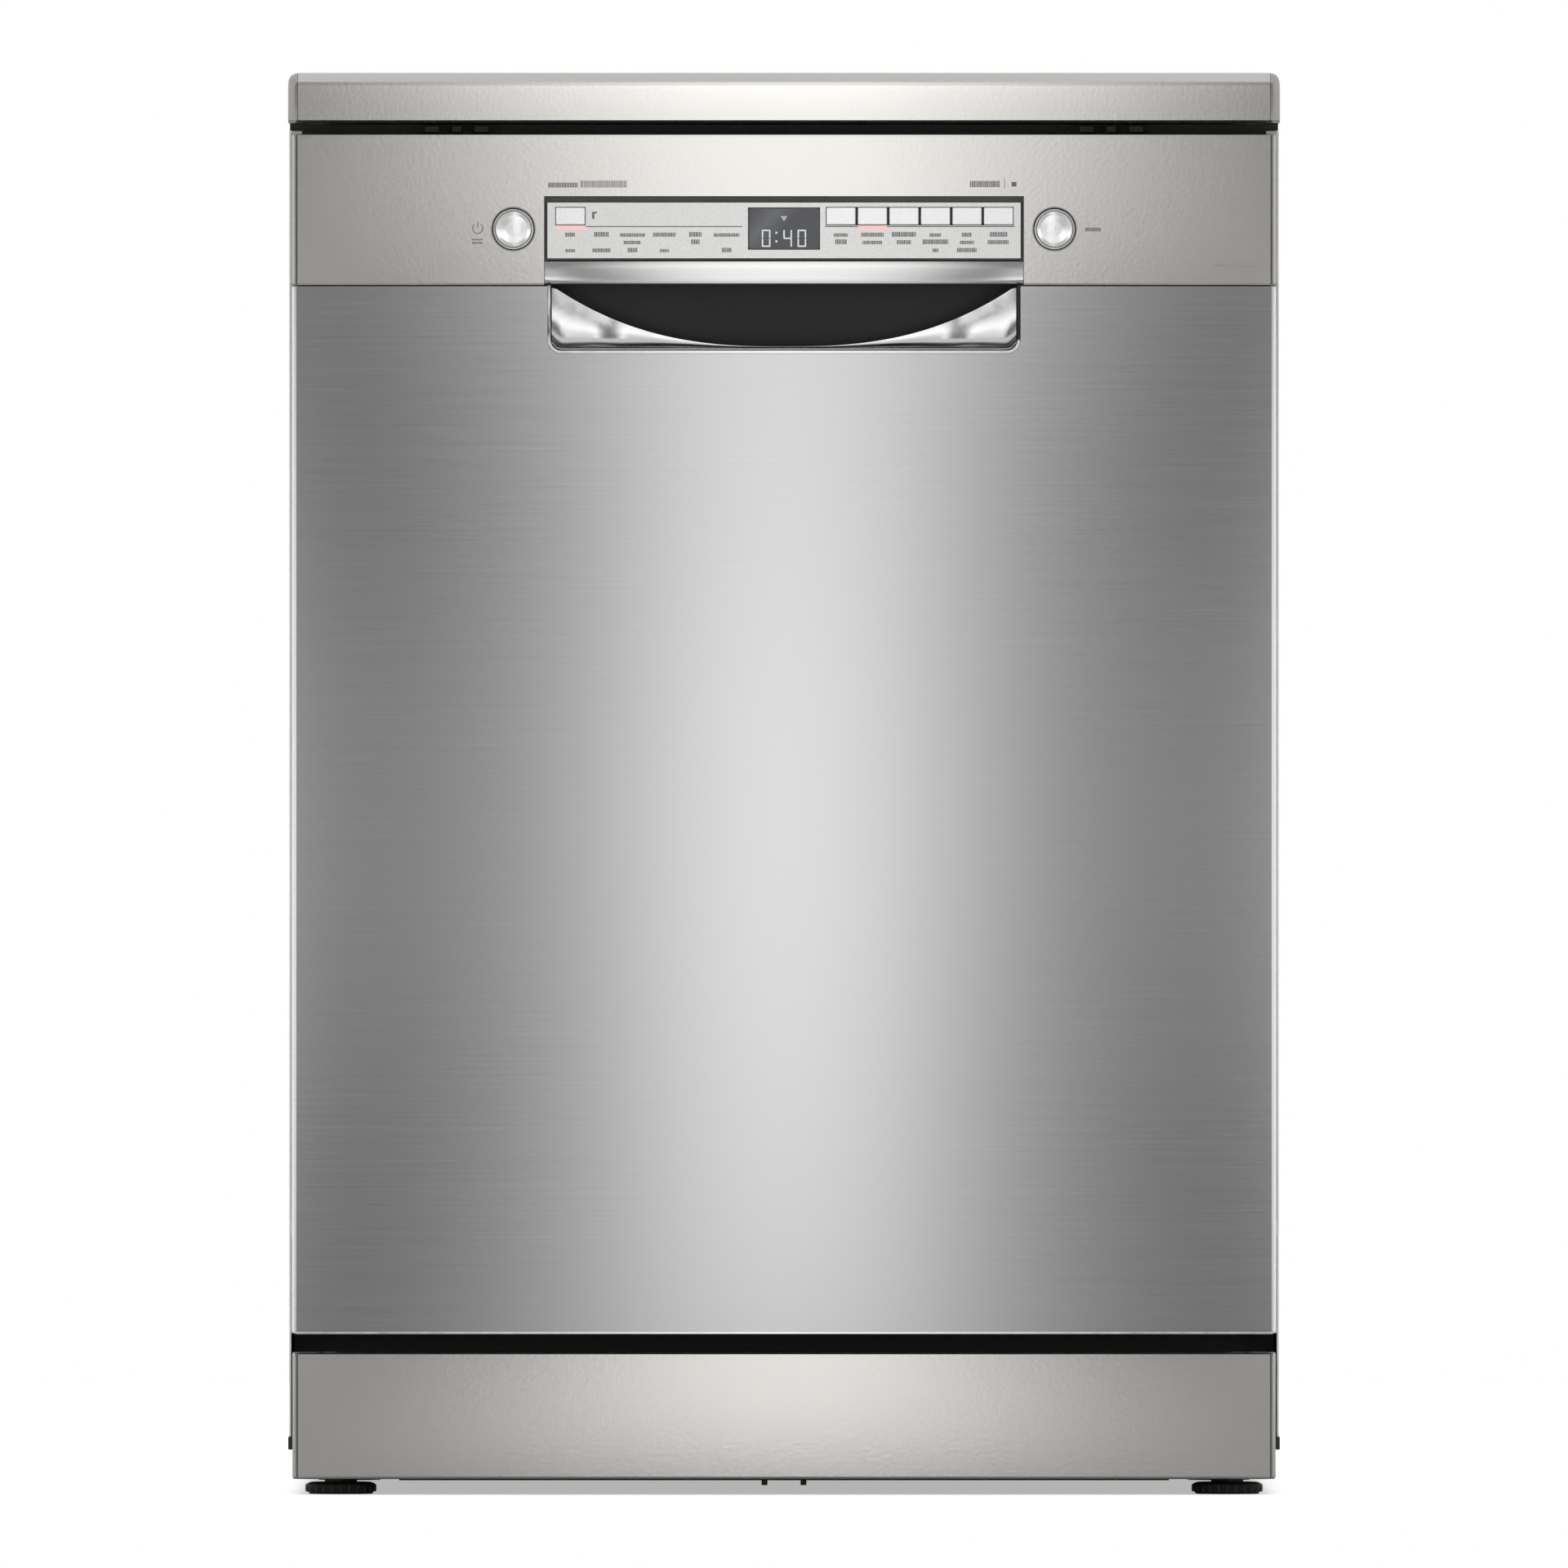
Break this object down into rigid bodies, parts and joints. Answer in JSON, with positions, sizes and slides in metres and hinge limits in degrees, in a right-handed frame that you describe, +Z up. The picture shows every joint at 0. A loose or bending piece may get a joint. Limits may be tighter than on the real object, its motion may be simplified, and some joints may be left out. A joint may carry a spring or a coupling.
{
  "type": "dishwasher",
  "caption": "Freestanding dishwasher with a drop-down brushed steel door, silver control panel, recessed handle, stainless tub, sliding racks, spray arms, filter and adjustable feet.",
  "frame": {"origin": "centre of the footprint, on the floor", "axes": "+Z up, -Y out of the door's front, +X to the right seen from the front"},
  "size_m": [0.6, 0.6, 0.86],
  "materials": {
    "laminate_silver": "satin silver laminate",
    "lacquer_silver": "satin silver lacquer",
    "button_silver": "satin silver lacquer on plastic",
    "key_silver": "satin silver lacquer on plastic",
    "bar_silver": "satin light silver lacquer",
    "brushed_steel": "fine horizontal brushing",
    "tub_steel": "satin stainless",
    "zinc_steel": "zinc plated",
    "filter_steel": "perforated sheet",
    "black_plastic": "matt, fine texture",
    "black_rubber": "matt",
    "chrome_trim": "bright satin",
    "display_glass": "gloss tinted window",
    "board_green": "solder mask",
    "dark_grey_plastic": "matt",
    "grey_plastic": "matt",
    "white_plastic": "matt",
    "arm_grey": "matt",
    "rack_coating": "nylon coated wire"
  },
  "bodies": {
    "root": {"worktop": "laminate_silver", "side_panel_left": "lacquer_silver", "side_panel_right": "lacquer_silver", "back_panel": "zinc_steel", "base_tray": "black_plastic", "plinth_panel": "lacquer_silver", "tub": "tub_steel", "tub_seal": "black_rubber", "sump": "dark_grey_plastic", "fine_filter": "filter_steel", "circulation_pump": "dark_grey_plastic", "drain_pump": "black_plastic", "softener_tank": "white_plastic", "spray_feed_pipe": "grey_plastic", "hinge_bracket_left": "zinc_steel", "hinge_bracket_right": "zinc_steel", "water_inlet_connector": "white_plastic", "mains_inlet_socket": "black_plastic"},
    "door": {"door_outer_panel": "brushed_steel", "door_liner": "tub_steel", "fascia": "lacquer_silver", "control_carrier": "black_plastic", "control_bar": "bar_silver", "display_window": "display_glass", "handle_strip": "chrome_trim", "handle_recess": "black_plastic", "handle_scoop": "chrome_trim", "control_board": "board_green", "door_lock": "dark_grey_plastic", "hinge_arm_left": "zinc_steel", "hinge_arm_right": "zinc_steel", "dispenser_housing": "grey_plastic"},
    "upper_rack": {"upper_rack": "rack_coating"},
    "rack_rails": {"rail_left": "zinc_steel", "rail_right": "zinc_steel"},
    "lower_rack": {"lower_rack": "rack_coating", "cutlery_basket": "grey_plastic"},
    "foot_front_left": {"foot_front_left": "black_plastic"},
    "foot_front_right": {"foot_front_right": "black_plastic"},
    "foot_rear_left": {"foot_rear_left": "black_plastic"},
    "foot_rear_right": {"foot_rear_right": "black_plastic"},
    "coarse_filter": {"coarse_filter": "grey_plastic"},
    "salt_cap": {"salt_cap": "white_plastic"},
    "lower_spray_arm": {"lower_spray_arm": "arm_grey"},
    "upper_spray_arm": {"upper_spray_arm": "arm_grey"},
    "wheel_front_left": {"wheel_front_left": "grey_plastic"},
    "wheel_front_right": {"wheel_front_right": "grey_plastic"},
    "wheel_rear_left": {"wheel_rear_left": "grey_plastic"},
    "wheel_rear_right": {"wheel_rear_right": "grey_plastic"},
    "power_button": {"power_button": "button_silver"},
    "start_button": {"start_button": "button_silver"},
    "program_button": {"program_button": "key_silver"},
    "option_button_1": {"option_button_1": "key_silver"},
    "option_button_2": {"option_button_2": "key_silver"},
    "option_button_3": {"option_button_3": "key_silver"},
    "option_button_4": {"option_button_4": "key_silver"},
    "option_button_5": {"option_button_5": "key_silver"},
    "option_button_6": {"option_button_6": "key_silver"},
    "detergent_lid": {"detergent_lid": "dark_grey_plastic"},
    "rinse_aid_cap": {"rinse_aid_cap": "white_plastic"}
  },
  "joints": [
    {"name": "door_hinge", "type": "hinge", "parent": "root", "child": "door", "pos_m": [0, -0.266, 0.15], "axis": [1, 0, 0], "range_deg": [0, 90]},
    {"name": "upper_rack_slide", "type": "slide", "parent": "root", "child": "upper_rack", "axis": [0, -1, 0], "range_m": [0, 0.4505]},
    {"name": "rack_rails_slide", "type": "slide", "parent": "root", "child": "rack_rails", "axis": [0, -1, 0], "range_m": [0, 0.2255]},
    {"name": "lower_rack_slide", "type": "slide", "parent": "root", "child": "lower_rack", "axis": [0, -1, 0], "range_m": [0, 0.1505]},
    {"name": "wheel_front_left_roll", "type": "hinge", "parent": "lower_rack", "child": "wheel_front_left", "pos_m": [-0.2625, -0.11, 0.1883], "axis": [1, 0, 0], "range_deg": [0, 432]},
    {"name": "wheel_front_right_roll", "type": "hinge", "parent": "lower_rack", "child": "wheel_front_right", "pos_m": [0.2625, -0.11, 0.1883], "axis": [1, 0, 0], "range_deg": [0, 432]},
    {"name": "wheel_rear_left_roll", "type": "hinge", "parent": "lower_rack", "child": "wheel_rear_left", "pos_m": [-0.2625, 0.11, 0.1883], "axis": [1, 0, 0], "range_deg": [0, 432]},
    {"name": "wheel_rear_right_roll", "type": "hinge", "parent": "lower_rack", "child": "wheel_rear_right", "pos_m": [0.2625, 0.11, 0.1883], "axis": [1, 0, 0], "range_deg": [0, 432]},
    {"name": "arm_lower_spin", "type": "hinge", "parent": "root", "child": "lower_spray_arm", "pos_m": [0, 0.02, 0.188], "axis": [0, 0, 1], "continuous": true},
    {"name": "arm_upper_spin", "type": "hinge", "parent": "upper_rack", "child": "upper_spray_arm", "pos_m": [0, 0.02, 0.478], "axis": [0, 0, 1], "continuous": true},
    {"name": "coarse_filter_turn", "type": "hinge", "parent": "root", "child": "coarse_filter", "pos_m": [0.045, 0.05, 0.15], "axis": [0, 0, 1], "range_deg": [0, 90]},
    {"name": "salt_cap_turn", "type": "hinge", "parent": "root", "child": "salt_cap", "pos_m": [-0.175, 0.11, 0.17], "axis": [0, 0, 1], "range_deg": [0, 360]},
    {"name": "foot_front_left_height", "type": "slide", "parent": "root", "child": "foot_front_left", "axis": [0, 0, -1], "range_m": [0, 0.02]},
    {"name": "foot_front_right_height", "type": "slide", "parent": "root", "child": "foot_front_right", "axis": [0, 0, -1], "range_m": [0, 0.02]},
    {"name": "foot_rear_left_height", "type": "slide", "parent": "root", "child": "foot_rear_left", "axis": [0, 0, -1], "range_m": [0, 0.02]},
    {"name": "foot_rear_right_height", "type": "slide", "parent": "root", "child": "foot_rear_right", "axis": [0, 0, -1], "range_m": [0, 0.02]},
    {"name": "power_button_press", "type": "slide", "parent": "door", "child": "power_button", "axis": [0, 1, 0], "range_m": [0, 0.0015], "stiffness_N_per_m": 400},
    {"name": "start_button_press", "type": "slide", "parent": "door", "child": "start_button", "axis": [0, 1, 0], "range_m": [0, 0.0015], "stiffness_N_per_m": 400},
    {"name": "program_button_press", "type": "slide", "parent": "door", "child": "program_button", "axis": [0, 1, 0], "range_m": [0, 0.0015], "stiffness_N_per_m": 400},
    {"name": "option_button_1_press", "type": "slide", "parent": "door", "child": "option_button_1", "axis": [0, 1, 0], "range_m": [0, 0.0015], "stiffness_N_per_m": 400},
    {"name": "option_button_2_press", "type": "slide", "parent": "door", "child": "option_button_2", "axis": [0, 1, 0], "range_m": [0, 0.0015], "stiffness_N_per_m": 400},
    {"name": "option_button_3_press", "type": "slide", "parent": "door", "child": "option_button_3", "axis": [0, 1, 0], "range_m": [0, 0.0015], "stiffness_N_per_m": 400},
    {"name": "option_button_4_press", "type": "slide", "parent": "door", "child": "option_button_4", "axis": [0, 1, 0], "range_m": [0, 0.0015], "stiffness_N_per_m": 400},
    {"name": "option_button_5_press", "type": "slide", "parent": "door", "child": "option_button_5", "axis": [0, 1, 0], "range_m": [0, 0.0015], "stiffness_N_per_m": 400},
    {"name": "option_button_6_press", "type": "slide", "parent": "door", "child": "option_button_6", "axis": [0, 1, 0], "range_m": [0, 0.0015], "stiffness_N_per_m": 400},
    {"name": "detergent_lid_slide", "type": "slide", "parent": "door", "child": "detergent_lid", "axis": [1, 0, 0], "range_m": [0, 0.058]},
    {"name": "rinse_aid_cap_turn", "type": "hinge", "parent": "door", "child": "rinse_aid_cap", "pos_m": [0.064, -0.252, 0.545], "axis": [0, 1, 0], "range_deg": [0, 90]}
  ],
  "couplings": [
    {"joint": "upper_rack_slide", "follows": "door_hinge", "m_per_rad": 0.2865},
    {"joint": "rack_rails_slide", "follows": "door_hinge", "m_per_rad": 0.1432},
    {"joint": "lower_rack_slide", "follows": "door_hinge", "m_per_rad": 0.0955},
    {"joint": "wheel_front_left_roll", "follows": "door_hinge", "ratio": 4.775},
    {"joint": "wheel_front_right_roll", "follows": "door_hinge", "ratio": 4.775},
    {"joint": "wheel_rear_left_roll", "follows": "door_hinge", "ratio": 4.775},
    {"joint": "wheel_rear_right_roll", "follows": "door_hinge", "ratio": 4.775}
  ]
}
